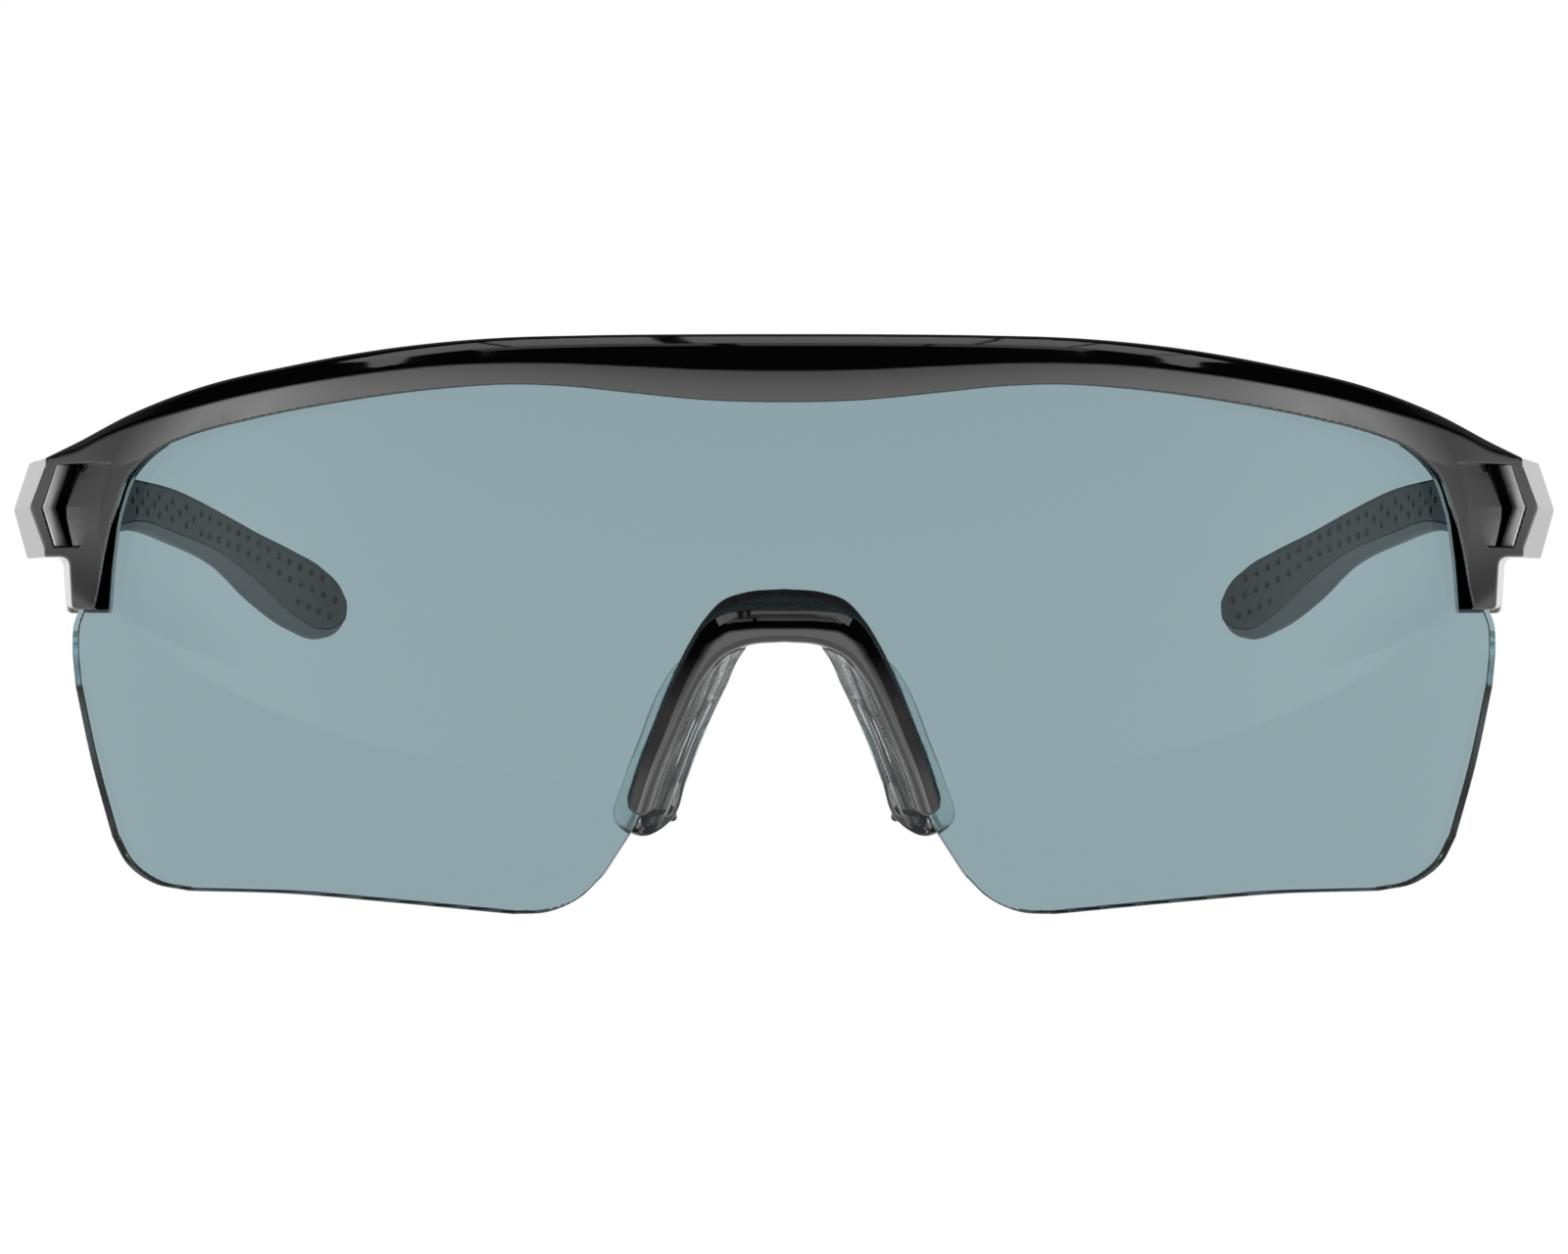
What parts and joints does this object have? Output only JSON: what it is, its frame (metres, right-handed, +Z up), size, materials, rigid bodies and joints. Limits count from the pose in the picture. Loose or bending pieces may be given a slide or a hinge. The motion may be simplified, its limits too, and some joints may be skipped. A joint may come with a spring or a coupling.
{
  "type": "wraparound sport sunglasses",
  "caption": "Half-rim wraparound sport sunglasses: curved tinted shield lens, gloss black brow frame, clip-on nose bridge with clear pads, folding temples with perforated grips",
  "frame": {"origin": "bottom centre of the bounding box, on the surface that the open glasses lie on", "axes": "+Y from the lens back along the temples, +Z up off that surface, +X to the wearer's left"},
  "size_m": [0.149, 0.1672, 0.0536],
  "materials": {
    "gloss_black": "gloss",
    "temple_black": "gloss",
    "smoke_lens": "polished, tinted, transparent polycarbonate",
    "clear_silicone": "clear silicone",
    "grip_rubber": "satin",
    "steel": "satin",
    "nylon": "natural"
  },
  "bodies": {
    "front": {"brow_frame": "gloss_black", "shield_lens": "smoke_lens", "nose_bridge": "gloss_black", "nose_pad_left": "clear_silicone", "hinge_front_leaf_left": "steel", "hinge_screw_left": "steel", "hinge_washers_left": "nylon", "front_leaf_screws_left": "steel", "nose_pad_right": "clear_silicone", "hinge_front_leaf_right": "steel", "hinge_screw_right": "steel", "hinge_washers_right": "nylon", "front_leaf_screws_right": "steel"},
    "temple_left": {"temple_arm_left": "temple_black", "temple_grip_left": "grip_rubber", "hinge_temple_leaf_left": "steel", "temple_leaf_screws_left": "steel"},
    "temple_right": {"temple_arm_right": "temple_black", "temple_grip_right": "grip_rubber", "hinge_temple_leaf_right": "steel", "temple_leaf_screws_right": "steel"}
  },
  "joints": [
    {"name": "fold_left", "type": "hinge", "parent": "front", "child": "temple_left", "pos_m": [0.0699, -0.03374, 0.03146], "axis": [0, 0.1668, 0.986], "range_deg": [0, 88]},
    {"name": "fold_right", "type": "hinge", "parent": "front", "child": "temple_right", "pos_m": [-0.0699, -0.03374, 0.03146], "axis": [0, -0.1668, -0.986], "range_deg": [0, 79]}
  ]
}
